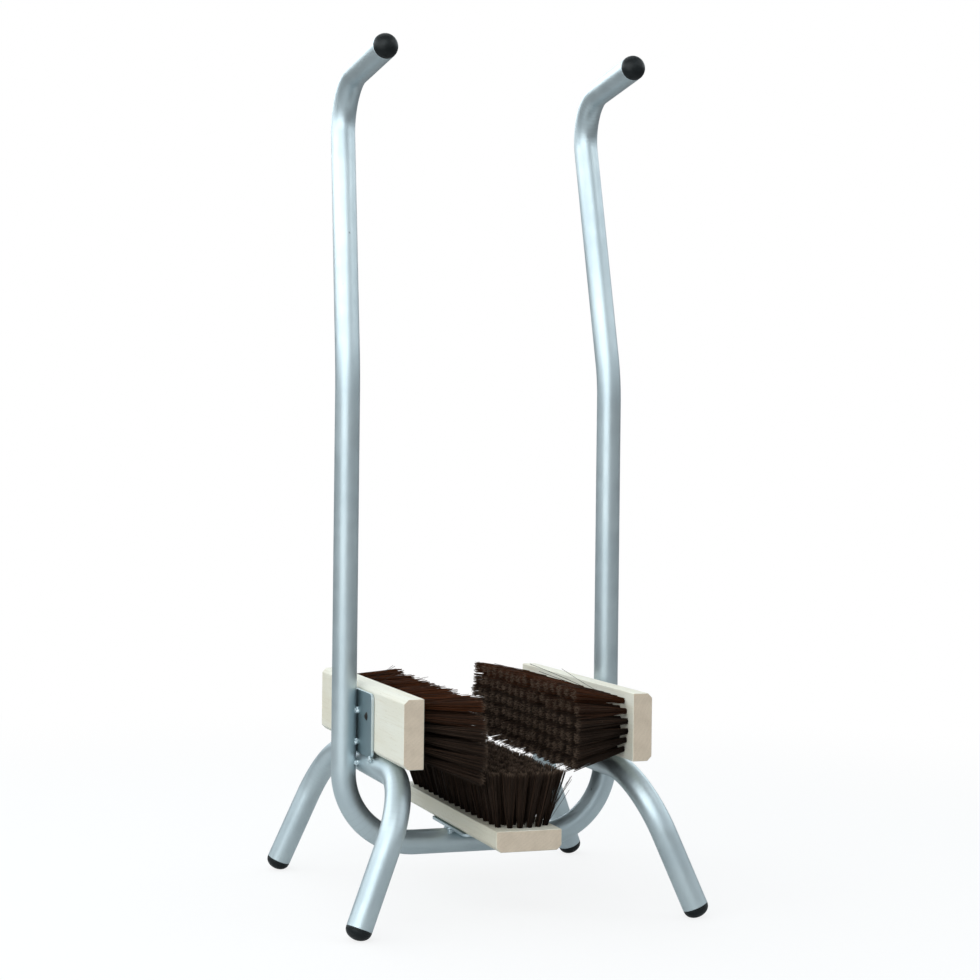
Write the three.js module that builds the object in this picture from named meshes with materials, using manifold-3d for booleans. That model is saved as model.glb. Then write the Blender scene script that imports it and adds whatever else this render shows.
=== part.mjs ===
// Boot scraper: one bent tube on two leg arches carries three scrubbing brushes.
// Millimetres. X runs across, the user stands at -Y, Z is up and the feet rest on Z = 0.

import * as THREE from "three";
import { mergeVertices } from "three/addons/utils/BufferGeometryUtils.js";
import Module from "manifold-3d";

// Gap left between pieces that touch
const seatGap = 0.3;

// Tube of the frame and of the leg arches
const tubeRadius = 12.5;
const tubeWall = 1.5;

// Brushes: a wooden block with rows of bristle tufts
const blockLength = 315;
const blockWidth = 66;
const blockThickness = 20;
const blockChamfer = 4.5;
const bristleLength = 60;
const bottomBristleLength = 56;
const bristleRagged = 1.6;
const backingSlice = 2;

// Tufts: where their rows start and how they spread
const tuftRows = 6;
const tuftPitch = 17.9;
const rowEdge = 9.3;
const rowEnd = 14.5;
const rowEndArc = 8.5;
const tuftRoot = 2.1;
const tuftTip = 5.3;
const tuftSink = 1;
const tuftWander = 0.3;
const sideFanAngle = 10.5;
const sideDroop = 5;
const endFan = 12;
const raggedRow = 5.1;
const raggedTuft = 2.3;

// Free channel for the boot, between the tips of the two side brushes
const bootGap = 91;
const brushClearance = 5.4;

// Plates that the blocks are screwed to
const plateLength = 112;
const plateWidth = 63;
const plateThickness = 3;
const plateCorner = 6;
const plateAboveArch = 2.6;

// Countersunk wood screws, two to a plate
const screwInset = 18;
const screwLift = 3.5;
const screwRadius = 2;
const screwHeadRadius = 4;
const screwPoint = 4;
const woodOverScrew = 5;

// Tack welds
const beadRadius = 3;
const beadReach = 7;
const beadInset = 2;
const lowTack = 11;
const highTack = 42;

// Frame: handles, leaning part, uprights and the loop below
const loopClearance = 42;
const loopBendRadius = 75;
const kinkHeight = 530;
const kinkBendRadius = 195;
const leanBack = 12.7;
const leanIn = 1.55;
const handleCornerHeight = 829;
const handleBendRadius = 46;
const handleLength = 150;
const handleRise = 4;
const handleToeIn = 1.6;

// Leg arches
const archAboveBend = 8.8;
const blockAboveArch = 1.2;
const archHalfLength = 148.4;
const archBendRadius = 74;
const legSpread = 22.3;
const legSplay = 8.8;

// Domed end caps with a ribbed stem inside the tube
const capHeight = 10.5;
const capRim = 1.5;
const stemLength = 16;
const stemRib = 0.9;
const stemRibs = 2;
const footFlat = 0.4;

// Facets of the round shapes
const tubeSides = 20;
const boreSides = 12;
const stemSides = 12;
const screwSides = 10;
const bendStep = 10;
const kinkSteps = 3;
const domeSteps = 5;
const cornerSteps = 3;
const beadSides = 8;

// Places worked out from the sizes above
const degrees = Math.PI / 180;
const stackDepth = seatGap + plateThickness + seatGap + blockThickness;
const uprightX = bootGap / 2 + bristleLength + stackDepth + tubeRadius;
const loopZ = loopClearance + tubeRadius;
const archZ = loopZ + loopBendRadius + archAboveBend;
const archX = uprightX - 2 * tubeRadius - seatGap;
const sideBrushZ = archZ + tubeRadius + blockAboveArch + blockWidth / 2;
const archRise = Math.sqrt(tubeRadius ** 2 - (tubeRadius - plateThickness) ** 2);
const sidePlateZ = archZ + archRise + plateAboveArch + plateWidth / 2;
const bristleFace = plateThickness + seatGap + blockThickness;
const screwLength = bristleFace - woodOverScrew;
const screwY = plateLength / 2 - screwInset;
const tubeBore = tubeRadius - tubeWall;
const stemRadius = tubeBore * Math.cos(Math.PI / boreSides) - seatGap;

// Finishes
const silverPaint = { color: 0x9aa6ab, roughness: 0.36, metalness: 0.65 };
const blackPlastic = { color: 0x16171a, roughness: 0.45, metalness: 0 };
const paleWood = { color: 0xe4dcc6, roughness: 0.62, metalness: 0 };
const brownBristle = { color: 0x2c1911, roughness: 0.55, metalness: 0 };
const darkSteel = { color: 0x3b3735, roughness: 0.5, metalness: 0.8 };

const wasm = await Module();
wasm.setup();

// A closed geometry as a solid that can be joined and cut.
function solidFrom(geometry) {
  const bare = new THREE.BufferGeometry();
  bare.setAttribute("position", geometry.getAttribute("position"));
  bare.setIndex(geometry.index);
  const merged = mergeVertices(bare, 1e-4);
  const vertProperties = merged.getAttribute("position").array;
  const triVerts = new Uint32Array(merged.index.array);
  return new wasm.Manifold(new wasm.Mesh({ numProp: 3, vertProperties, triVerts }));
}

// A solid back as a geometry to draw.
function geometryFrom(solid) {
  const mesh = solid.getMesh();
  const geometry = new THREE.BufferGeometry();
  geometry.setAttribute("position", new THREE.BufferAttribute(mesh.vertProperties, 3));
  geometry.setIndex(new THREE.BufferAttribute(mesh.triVerts, 1));
  geometry.computeVertexNormals();
  return geometry;
}

function addPiece(parent, name, geometry, finish) {
  const piece = new THREE.Mesh(geometry, new THREE.MeshStandardMaterial(finish));
  piece.name = name;
  parent.add(piece);
  return piece;
}

// A centreline of straight runs and round bends, with stations only where the tube needs a ring.
class BentPath extends THREE.Curve {
  constructor(corners, bends) {
    super();
    this.stations = [];
    const last = corners.length - 1;
    this.addStation(corners[0], corners[1].clone().sub(corners[0]));
    for (let i = 1; i < last; i += 1) {
      this.addBend(corners[i - 1], corners[i], corners[i + 1], bends[i - 1]);
    }
    this.addStation(corners[last], corners[last].clone().sub(corners[last - 1]));
  }

  addStation(point, direction) {
    this.stations.push({ point: point.clone(), tangent: direction.clone().normalize() });
  }

  addBend(before, corner, after, { radius, steps }) {
    const inward = corner.clone().sub(before).normalize();
    const outward = after.clone().sub(corner).normalize();
    const turn = inward.angleTo(outward);
    const axis = inward.clone().cross(outward).normalize();
    const count = steps ?? Math.ceil(turn / degrees / bendStep);
    const start = corner.clone().addScaledVector(inward, -radius * Math.tan(turn / 2));
    const toCentre = axis.clone().cross(inward).multiplyScalar(radius);
    const centre = start.clone().add(toCentre);
    for (let k = 0; k <= count; k += 1) {
      const angle = (turn * k) / count;
      const arm = toCentre.clone().negate().applyAxisAngle(axis, angle);
      this.addStation(centre.clone().add(arm), inward.clone().applyAxisAngle(axis, angle));
    }
  }

  stationAt(share) {
    return this.stations[Math.round(share * (this.stations.length - 1))];
  }

  getPoint(share, target = new THREE.Vector3()) {
    return target.copy(this.stationAt(share).point);
  }

  getPointAt(share, target) {
    return this.getPoint(share, target);
  }

  getTangent(share, target = new THREE.Vector3()) {
    return target.copy(this.stationAt(share).tangent);
  }

  getTangentAt(share, target) {
    return this.getTangent(share, target);
  }
}

function circlePoints(radius, sides) {
  const points = [];
  for (let i = 0; i < sides; i += 1) {
    const angle = (2 * Math.PI * i) / sides;
    points.push(new THREE.Vector2(radius * Math.cos(angle), radius * Math.sin(angle)));
  }
  return points;
}

// A hollow tube that is open at both ends.
function tubeGeometry(path) {
  const section = new THREE.Shape(circlePoints(tubeRadius, tubeSides));
  section.holes.push(new THREE.Path(circlePoints(tubeBore, boreSides)));
  const steps = path.stations.length - 1;
  return new THREE.ExtrudeGeometry(section, { extrudePath: path, steps });
}

// A profile of [radius, height] pairs, from the axis to the axis, turned about Z.
function turned(profile, sides) {
  const points = profile.map(([radius, height]) => new THREE.Vector2(radius, height));
  return new THREE.LatheGeometry(points, sides).rotateX(Math.PI / 2);
}

// A round bar along X, used to clear the tube out of what is welded to it.
function tubeCutter(length) {
  const radius = tubeRadius + seatGap;
  return new THREE.CylinderGeometry(radius, radius, length, 2 * boreSides).rotateZ(Math.PI / 2);
}

function bead(x, y, z) {
  return solidFrom(new THREE.SphereGeometry(beadRadius, beadSides, beadSides - 2).translate(x, y, z));
}

// Height of a tube's surface above its axis, a distance across from it.
function tubeCrown(across) {
  return Math.sqrt(tubeRadius ** 2 - across ** 2);
}

// The bent tube: handle, leaning part and upright on each side, joined by the loop.
function frameCorners(side) {
  const rise = handleCornerHeight - kinkHeight;
  const kink = new THREE.Vector3(side * uprightX, 0, kinkHeight);
  const corner = kink.clone();
  corner.x -= side * rise * Math.tan(leanIn * degrees);
  corner.y += rise * Math.tan(leanBack * degrees);
  corner.z = handleCornerHeight;
  const towardsUser = new THREE.Vector3(
    -side * Math.tan(handleToeIn * degrees),
    -1,
    Math.tan(handleRise * degrees),
  );
  const end = corner.clone().addScaledVector(towardsUser.normalize(), handleLength);
  return [end, corner, kink, new THREE.Vector3(side * uprightX, 0, loopZ)];
}

function framePath() {
  const handle = { radius: handleBendRadius };
  const kink = { radius: kinkBendRadius, steps: kinkSteps };
  const loop = { radius: loopBendRadius };
  const corners = [...frameCorners(-1), ...frameCorners(1).reverse()];
  return new BentPath(corners, [handle, kink, loop, loop, kink, handle]);
}

// Cap: the dome outside the tube and the stem inside it, with the tube's end at Z = 0.
function domeProfile() {
  const profile = [
    [0, seatGap],
    [tubeRadius, seatGap],
  ];
  const dome = capHeight - capRim;
  for (let i = 0; i < domeSteps; i += 1) {
    const angle = (Math.PI / 2) * (i / domeSteps);
    profile.push([tubeRadius * Math.cos(angle), capRim + dome * Math.sin(angle)]);
  }
  profile.push([0, capHeight]);
  return profile;
}

function stemProfile() {
  const core = stemRadius - stemRib;
  const ribPitch = stemLength / (stemRibs + 1);
  const profile = [
    [0, -stemLength],
    [core - stemRib, -stemLength],
  ];
  for (let i = 0; i < stemRibs; i += 1) {
    const base = -stemLength + ribPitch * (i + 0.5);
    profile.push([core, base]);
    profile.push([stemRadius, base + ribPitch / 2]);
    profile.push([core, base + ribPitch / 2 + stemRib]);
  }
  profile.push([core, capRim]);
  profile.push([0, capRim]);
  return profile;
}

function capSolid() {
  return solidFrom(turned(domeProfile(), tubeSides)).add(solidFrom(turned(stemProfile(), stemSides)));
}

// How far a cap reaches below the middle of the tube's end when the leg leans off the vertical.
function capReach(lean) {
  const reaches = domeProfile().map(
    ([radius, height]) => radius * Math.sin(lean) + height * Math.cos(lean),
  );
  return Math.max(...reaches);
}

// Leg arch: a level run beside the upright that turns down at both ends into a foot.
function archCorners(side) {
  const out = Math.tan(legSpread * degrees);
  const along = Math.tan(legSplay * degrees);
  const lean = Math.atan(Math.hypot(out, along));
  const drop = archZ - (capReach(lean) - footFlat);
  const corners = [];
  for (const end of [-1, 1]) {
    const corner = new THREE.Vector3(side * archX, end * archHalfLength, archZ);
    const foot = corner.clone().add(new THREE.Vector3(side * out, end * along, -1).multiplyScalar(drop));
    corners.push(...(end < 0 ? [foot, corner] : [corner, foot]));
  }
  return corners;
}

function archPath(side) {
  const bend = { radius: archBendRadius };
  return new BentPath(archCorners(side), [bend, bend]);
}

// The arch with the tacks that hold it to the upright.
function archSolid(side, path) {
  const halfway = (tubeRadius - tubeCrown(beadReach)) / 2;
  const tackX = side * (archX + tubeRadius + halfway);
  const upright = tubeCutter(4 * tubeRadius).rotateY(Math.PI / 2);
  upright.translate(side * uprightX, 0, archZ);
  let solid = solidFrom(tubeGeometry(path));
  for (const end of [-1, 1]) {
    solid = solid.add(bead(tackX, end * beadReach, archZ).subtract(solidFrom(upright)));
  }
  return solid;
}

// Screw along +Z, with its head flush at Z = 0; a hole for it is wider all round by the clearance.
function screwProfile(clearance) {
  const headDepth = screwHeadRadius - screwRadius;
  return [
    [0, -clearance],
    [screwHeadRadius + 2 * clearance, -clearance],
    [screwRadius + clearance, headDepth],
    [screwRadius + clearance, screwLength - screwPoint],
    [0, screwLength + clearance],
  ];
}

// Cuts the two screw holes of a station out of its plate or block.
function drilled(solid, screwX) {
  let cut = solid;
  for (const end of [-1, 1]) {
    const hole = turned(screwProfile(seatGap), screwSides);
    cut = cut.subtract(solidFrom(hole.translate(screwX, end * screwY, 0)));
  }
  return cut;
}

// A plate lies in its station's XY plane, with the tube along X behind it and the brush before it.
function plateOutline(middle) {
  const x = plateWidth / 2 - plateCorner;
  const y = plateLength / 2 - plateCorner;
  const quarter = Math.PI / 2;
  const outline = new THREE.Shape();
  outline.absarc(middle + x, y, plateCorner, 0, quarter);
  outline.absarc(middle - x, y, plateCorner, quarter, 2 * quarter);
  outline.absarc(middle - x, -y, plateCorner, 2 * quarter, 3 * quarter);
  outline.absarc(middle + x, -y, plateCorner, 3 * quarter, 4 * quarter);
  return outline;
}

function plateSolid({ plateMiddle, tubeTacks, archTack, screwX }) {
  const sheet = { depth: plateThickness, bevelEnabled: false, curveSegments: cornerSteps };
  const plain = solidFrom(new THREE.ExtrudeGeometry(plateOutline(plateMiddle), sheet));
  let solid = drilled(plain, screwX);
  const tube = solidFrom(tubeCutter(4 * plateWidth).translate(0, 0, -tubeRadius - seatGap));
  const wedge = tubeRadius + seatGap - tubeCrown(beadReach);
  for (const x of tubeTacks) {
    for (const end of [-1, 1]) {
      solid = solid.add(bead(x, end * beadReach, -wedge / 2).subtract(tube));
    }
  }
  if (archTack) {
    const arch = tubeCutter(2 * plateLength).rotateZ(Math.PI / 2);
    arch.translate(archTack.axisX, 0, tubeRadius);
    for (const end of [-1, 1]) {
      const y = end * (plateLength / 2 - plateCorner);
      solid = solid.add(bead(archTack.x, y, plateThickness / 2).subtract(solidFrom(arch)));
    }
  }
  return solid;
}

// The block's section, chamfered along its two back edges, run along Y.
function blockSolid({ screwX }) {
  const half = blockWidth / 2;
  const depth = blockThickness - backingSlice - seatGap;
  const section = new THREE.Shape();
  section.moveTo(-half + blockChamfer, 0);
  section.lineTo(half - blockChamfer, 0);
  section.lineTo(half, blockChamfer);
  section.lineTo(half, depth);
  section.lineTo(-half, depth);
  section.lineTo(-half, blockChamfer);
  const run = new THREE.ExtrudeGeometry(section, { depth: blockLength, bevelEnabled: false });
  run.rotateX(Math.PI / 2).translate(0, blockLength / 2, plateThickness + seatGap);
  return drilled(solidFrom(run), screwX);
}

// One tuft: a four-sided strand that widens from its root and leans out to its tip.
function tuftSolid(rootX, rootY, leanX, leanY, length) {
  const corner = Math.SQRT2;
  const height = length + tuftSink;
  const strand = new THREE.CylinderGeometry(corner * tuftTip, corner * tuftRoot, height, 4);
  strand.rotateY(Math.PI / 4).rotateX(Math.PI / 2).translate(0, 0, height / 2 - tuftSink);
  strand.applyMatrix4(new THREE.Matrix4().makeShear(0, 0, 0, 0, leanX, leanY));
  return solidFrom(strand.translate(rootX, rootY, bristleFace));
}

// The rows of tufts on the slice of the block's face that holds them.
function bristleSolid({ outerTip, longest, droop }) {
  const slice = new THREE.BoxGeometry(blockWidth, blockLength, backingSlice);
  let solid = solidFrom(slice.translate(0, 0, bristleFace - backingSlice / 2));
  const outerRoot = blockWidth / 2 - rowEdge;
  for (let row = 0; row < tuftRows; row += 1) {
    const share = (2 * row) / (tuftRows - 1) - 1;
    const rowHalf = blockLength / 2 - rowEnd - rowEndArc * share ** 2;
    const gaps = Math.round((2 * rowHalf) / tuftPitch);
    for (let tuft = 0; tuft <= gaps; tuft += 1) {
      const along = (2 * tuft) / gaps - 1;
      const wave = raggedRow * row + raggedTuft * tuft;
      const rootX = share * outerRoot + tuftWander * Math.sin(wave);
      const rootY = along * rowHalf + tuftWander * Math.cos(wave);
      const leanX = (share * (outerTip - outerRoot) + droop) / longest;
      const leanY = (along * endFan) / longest;
      const length = longest - (bristleRagged * (1 + Math.sin(wave))) / 2;
      solid = solid.add(tuftSolid(rootX, rootY, leanX, leanY, length));
    }
  }
  return solid;
}

// A brush station: plate, screws, block and bristles, stacked along +Z from the tube's side.
function addStation(name, station) {
  const group = new THREE.Group();
  group.position.copy(station.position);
  group.rotation.y = station.turn;
  addPiece(group, `${name}_plate`, geometryFrom(plateSolid(station)), silverPaint);
  addPiece(group, `${name}_block`, geometryFrom(blockSolid(station)), paleWood);
  addPiece(group, `${name}_bristles`, geometryFrom(bristleSolid(station)), brownBristle);
  for (const [place, end] of [["front", -1], ["back", 1]]) {
    const shape = turned(screwProfile(0), screwSides);
    const screw = addPiece(group, `${name}_screw_${place}`, shape, darkSteel);
    screw.position.set(station.screwX, end * screwY, 0);
  }
  root.add(group);
}

// The side brushes are turned on their sides, so a height on them is a place across the station.
function sideStation(side) {
  const across = (height) => side * (height - sideBrushZ);
  const plateFoot = sidePlateZ - plateWidth / 2;
  const fan = bristleLength * Math.tan(sideFanAngle * degrees);
  return {
    position: new THREE.Vector3(side * (uprightX - tubeRadius - seatGap), 0, sideBrushZ),
    turn: (-side * Math.PI) / 2,
    plateMiddle: across(sidePlateZ),
    tubeTacks: [across(plateFoot + lowTack), across(plateFoot + highTack)],
    archTack: { x: across(plateFoot - plateAboveArch / 2), axisX: across(archZ) },
    screwX: side * screwLift,
    outerTip: blockWidth / 2 - rowEdge + fan,
    longest: bristleLength,
    droop: -side * sideDroop,
  };
}

function bottomStation() {
  const tack = plateWidth / 2 - beadInset;
  return {
    position: new THREE.Vector3(0, 0, loopZ + tubeRadius + seatGap),
    turn: 0,
    plateMiddle: 0,
    tubeTacks: [-tack, tack],
    screwX: 0,
    outerTip: bootGap / 2 - brushClearance - tuftTip,
    longest: bottomBristleLength,
    droop: 0,
  };
}

// A cap on the end of a tube, facing out along it.
function addCap(name, station, outward) {
  const cap = addPiece(root, name, geometryFrom(capSolid()), blackPlastic);
  cap.position.copy(station.point);
  cap.quaternion.setFromUnitVectors(new THREE.Vector3(0, 0, 1), outward);
  cap.updateMatrix();
  return cap;
}

// A foot is a cap that has been cut level where it stands.
function addFoot(name, station, outward) {
  const foot = addCap(name, station, outward);
  const size = 4 * tubeRadius;
  const floor = new THREE.BoxGeometry(size, size, size);
  floor.translate(station.point.x, station.point.y, -size / 2);
  floor.applyMatrix4(foot.matrix.clone().invert());
  foot.geometry = geometryFrom(capSolid().subtract(solidFrom(floor)));
}

const root = new THREE.Group();

const frame = framePath();
addPiece(root, "frame_tube", tubeGeometry(frame), silverPaint);
addCap("handle_cap_left", frame.stations.at(0), frame.stations.at(0).tangent.clone().negate());
addCap("handle_cap_right", frame.stations.at(-1), frame.stations.at(-1).tangent);

for (const [name, side] of [["left", -1], ["right", 1]]) {
  const arch = archPath(side);
  const [front, back] = [arch.stations.at(0), arch.stations.at(-1)];
  addPiece(root, `leg_arch_${name}`, geometryFrom(archSolid(side, arch)), silverPaint);
  addFoot(`foot_cap_front_${name}`, front, front.tangent.clone().negate());
  addFoot(`foot_cap_back_${name}`, back, back.tangent);
  addStation(`${name}_brush`, sideStation(side));
}
addStation("bottom_brush", bottomStation());

export default root;
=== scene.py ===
import math
import random

import bmesh
import bpy
from mathutils import Matrix, Vector, noise


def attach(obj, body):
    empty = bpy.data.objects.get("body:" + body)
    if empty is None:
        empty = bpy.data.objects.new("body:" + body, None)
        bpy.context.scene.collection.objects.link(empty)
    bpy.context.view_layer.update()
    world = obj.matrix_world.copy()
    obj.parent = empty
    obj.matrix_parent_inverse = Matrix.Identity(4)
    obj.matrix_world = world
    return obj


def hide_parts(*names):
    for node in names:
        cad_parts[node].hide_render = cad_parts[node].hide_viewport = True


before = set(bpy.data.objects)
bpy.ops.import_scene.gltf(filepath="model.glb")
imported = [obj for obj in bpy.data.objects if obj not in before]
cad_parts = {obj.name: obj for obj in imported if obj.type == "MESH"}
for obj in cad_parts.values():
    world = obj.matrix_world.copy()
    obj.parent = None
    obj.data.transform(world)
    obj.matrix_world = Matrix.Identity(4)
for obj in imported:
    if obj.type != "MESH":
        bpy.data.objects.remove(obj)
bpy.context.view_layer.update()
mm = 0.001
tiny = 1e-6
scene = bpy.context.scene
print("frame loaded", len(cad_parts), "nodes")


# helpers for meshes, whose measures are in millimetres

def newObject(name, data):
    made = bpy.data.objects.new(name, data)
    scene.collection.objects.link(made)
    return made


def solid(name, source):
    bmesh.ops.recalc_face_normals(source, faces=source.faces)
    mesh = bpy.data.meshes.new(name)
    source.to_mesh(mesh)
    source.free()
    return newObject(name, mesh)


def smooth(piece, sharpAngle=None):
    piece.data.polygons.foreach_set("use_smooth", [True] * len(piece.data.polygons))
    if sharpAngle is not None:
        piece.data.set_sharp_from_angle(angle=math.radians(sharpAngle))


def applied(piece):
    # the piece's modifiers become part of a plain mesh
    bpy.context.view_layer.update()
    graph = bpy.context.evaluated_depsgraph_get()
    plain = bpy.data.meshes.new_from_object(piece.evaluated_get(graph), depsgraph=graph)
    piece.modifiers.clear()
    piece.data = plain


def cutAway(piece, cutter):
    cut = piece.modifiers.new("cut", "BOOLEAN")
    cut.object = cutter
    cut.solver = "EXACT"
    applied(piece)
    bpy.data.objects.remove(cutter)


def evenNormals(piece):
    weighted = piece.modifiers.new("normals", "WEIGHTED_NORMAL")
    weighted.keep_sharp = True
    applied(piece)


def around(ring):
    # each item of a closed ring with the one after it
    return zip(ring, ring[1:] + ring[:1])


def bridged(source, low, high):
    # quads between two rings that have as many points
    return [source.faces.new((a, b, d, c)) for (a, b), (c, d) in zip(around(low), around(high))]


def revolve(source, profile, sides, matrix):
    # profile of (radius, height) pairs from the axis to the axis
    rings = []
    for radius, height in profile:
        ring = []
        for i in range(sides if radius else 1):
            angle = 2 * math.pi * i / sides
            place = Vector((radius * math.cos(angle), radius * math.sin(angle), height))
            ring.append(source.verts.new(matrix @ (place * mm)))
        rings.append(ring)
    for low, high in zip(rings, rings[1:]):
        if len(low) == 1:
            for first, second in around(high):
                source.faces.new((low[0], first, second))
        elif len(high) == 1:
            for first, second in around(low):
                source.faces.new((first, second, high[0]))
        else:
            bridged(source, low, high)


def prism(outline, rise):
    # a flat outline of corners, raised into a solid
    source = bmesh.new()
    face = source.faces.new([source.verts.new(Vector(corner) * mm) for corner in outline])
    grown = bmesh.ops.extrude_face_region(source, geom=[face])
    moved = [item for item in grown["geom"] if isinstance(item, bmesh.types.BMVert)]
    bmesh.ops.translate(source, verts=moved, vec=Vector(rise) * mm)
    return source


def softened(source, edges, width, steps):
    bmesh.ops.bevel(source, geom=edges, offset=width * mm, segments=steps, affect="EDGES", profile=0.5)


def turnedTo(direction, place):
    turn = Vector((0, 0, 1)).rotation_difference(direction).to_matrix().to_4x4()
    return Matrix.Translation(place) @ turn


def dress(piece, *materials):
    piece.data.materials.clear()
    for material in materials:
        piece.data.materials.append(material)


def dressFaces(piece, main, second, chosen):
    # the second material goes to the faces whose normal is chosen
    dress(piece, main, second)
    for polygon in piece.data.polygons:
        polygon.material_index = int(chosen(polygon.normal))


def settle(piece, slot, *nodes):
    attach(piece, "root")
    if nodes:
        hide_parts(*nodes)


# helpers for node trees

def camel(words):
    # Tip Radius becomes tipRadius
    first, *others = words.replace("-", " ").split() or [""]
    return first.lower() + "".join(word.capitalize() for word in others)


def mainOutput(node):
    return next(socket for socket in node.outputs if socket.enabled)


class Tree:
    def __init__(self, group):
        self.nodes = group.nodes
        self.links = group.links

    def plug(self, value, socket):
        # a node or a socket is linked, and anything else becomes the socket's own value
        if isinstance(value, bpy.types.Node):
            value = mainOutput(value)
        if isinstance(value, bpy.types.NodeSocket):
            self.links.new(value, socket)
        else:
            socket.default_value = value

    def feed(self, node, *values, **inputs):
        # values go to the first sockets, and inputs to the sockets with their names in camel case
        for value, socket in zip(values, node.inputs):
            self.plug(value, socket)
        for key, value in inputs.items():
            self.plug(value, next(s for s in node.inputs if camel(s.name) == key and s.enabled))
        return node

    def add(self, kind, settings=None, *values, **inputs):
        node = self.nodes.new(kind)
        for key, value in (settings or {}).items():
            setattr(node, key, value)
        return self.feed(node, *values, **inputs)

    def maths(self, operation, *values):
        return self.add("ShaderNodeMath", {"operation": operation}, *values).outputs[0]

    def times(self, product, *factors):
        for factor in factors:
            product = self.maths("MULTIPLY", product, factor)
        return product

    def vectors(self, operation, *values, output=0):
        return self.add("ShaderNodeVectorMath", {"operation": operation}, *values).outputs[output]

    def ramp(self, value, low, high, start=0.0, end=1.0):
        settings = {"interpolation_type": "SMOOTHSTEP"}
        return self.add("ShaderNodeMapRange", settings, value, low, high, start, end).outputs[0]


class ShaderTree(Tree):
    # a tree with a dictionary of values, whose entries are called by name
    def __init__(self, owner, kind, values):
        owner.use_nodes = True
        owner.node_tree.nodes.clear()
        super().__init__(owner.node_tree)
        self.values = values
        self.output = self.add("ShaderNodeOutput" + kind)

    def plug(self, value, socket):
        super().plug(self.values[value] if isinstance(value, str) else value, socket)

    def through(self, value, ramp):
        return self.ramp(value, *self.values[ramp])

    def show(self, surface):
        self.feed(self.output, surface=surface)

    def mix(self, share, first, second):
        return self.add("ShaderNodeMixShader", None, share, first, second)


class MaterialTree(ShaderTree):
    def __init__(self, name, values):
        self.material = bpy.data.materials.new(name)
        super().__init__(self.material, "Material", values)
        self.shader = self.add("ShaderNodeBsdfPrincipled")
        self.show(self.shader)
        self.place = self.add("ShaderNodeTexCoord").outputs["Object"]

    def look(self, **inputs):
        self.feed(self.shader, **inputs)

    def attribute(self, name):
        return self.add("ShaderNodeAttribute", {"attribute_name": name}).outputs["Fac"]

    def stretched(self, place, scale):
        return self.add("ShaderNodeMapping", None, vector=place, scale=scale).outputs[0]

    def blend(self, share, first, second, mode="MIX"):
        settings = {"data_type": "RGBA", "blend_type": mode}
        return mainOutput(self.add("ShaderNodeMix", settings, factor=share, a=first, b=second))

    def pattern(self, name):
        # noise over a place that may be stretched, through a ramp where one is given
        values = {"vector": self.place, **self.values[name]}
        ramp = values.pop("ramp", None)
        if "stretch" in values:
            values["vector"] = self.stretched(self.place, values.pop("stretch"))
        grain = self.add("ShaderNodeTexNoise", None, **values).outputs[0]
        return self.ramp(grain, *ramp) if ramp else grain

    def waves(self, distance, pitch, ramp):
        turns = self.times(distance, 2 * math.pi / self.values[pitch])
        return self.through(self.maths("SINE", turns), ramp)

    def bump(self, height):
        strength, distance = self.values["bump"]
        bump = self.add("ShaderNodeBump", None, height=height, strength=strength, distance=distance)
        self.look(normal=bump)


# camera

cameraValues = {
    "place": (-0.6201, -1.8381, 0.4174),
    "yaw": -18.937,
    "pitch": 0.134,
    "roll": 0.647,
    "focalLength": 69.37,
    "sensor": 36,
    "farthest": 60,
}


def addCamera():
    yaw, pitch, roll = (math.radians(cameraValues[key]) for key in ("yaw", "pitch", "roll"))
    ahead = Vector((-math.sin(yaw) * math.cos(pitch), math.cos(yaw) * math.cos(pitch), -math.sin(pitch)))
    right = Vector((math.cos(yaw), math.sin(yaw), 0))
    up = right.cross(ahead)
    across = right * math.cos(roll) + up * math.sin(roll)
    above = up * math.cos(roll) - right * math.sin(roll)
    turn = Matrix((across, above, -ahead)).transposed().to_4x4()
    camera = newObject("camera", bpy.data.cameras.new("camera"))
    camera.data.sensor_width = cameraValues["sensor"]
    camera.data.lens = cameraValues["focalLength"]
    camera.data.clip_end = cameraValues["farthest"]
    camera.matrix_world = Matrix.Translation(cameraValues["place"]) @ turn
    scene.camera = camera


addCamera()
print("camera placed")


# materials; a ramp is its low and high end, and then what it gives there; places are in metres

paintValues = {
    "light": (0.585, 0.66, 0.685, 1),
    "dark": (0.52, 0.595, 0.625, 1),
    "flake": (0.75, 0.79, 0.81, 1),
    "scuff": (0.24, 0.26, 0.27, 1),
    "tubeShade": (1, 1, 1, 1),
    # painted shade: the plates' faces take a darker, bluer copy of the same paint
    "plateShade": (0.43, 0.5, 0.52, 1),
    "metallic": 0.86,
    "clouds": {"scale": 14, "detail": 3},
    "cloudRamp": (0.35, 0.65),
    "flakes": {"scale": 1500, "detail": 1, "ramp": (0.55, 0.8, 0, 0.25)},
    "rubs": {"scale": 95, "detail": 4, "roughness": 0.6, "stretch": (1, 1, 0.35), "ramp": (0.735, 0.765)},
    "scratches": {"scale": 420, "detail": 2, "stretch": (1, 1, 0.06), "ramp": (0.775, 0.80)},
    "scratchShare": 0.6,
    "wornShare": 0.7,
    "wornRoughness": 0.2,
    "wornDepth": 0.5,
    "markPitch": 0.0062,
    "markRamp": (0.55, 1.0),
    "markClouds": (0.4, 0.6),
    "markShare": 0.16,
    "markDepth": 1.2,
    "sheen": {"scale": 60, "detail": 3, "ramp": (0.3, 0.7, 0.40, 0.47)},
    "peel": {"scale": 420, "detail": 2},
    "peelHeight": 0.35,
    "bump": (0.5, 0.00012),
}


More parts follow.
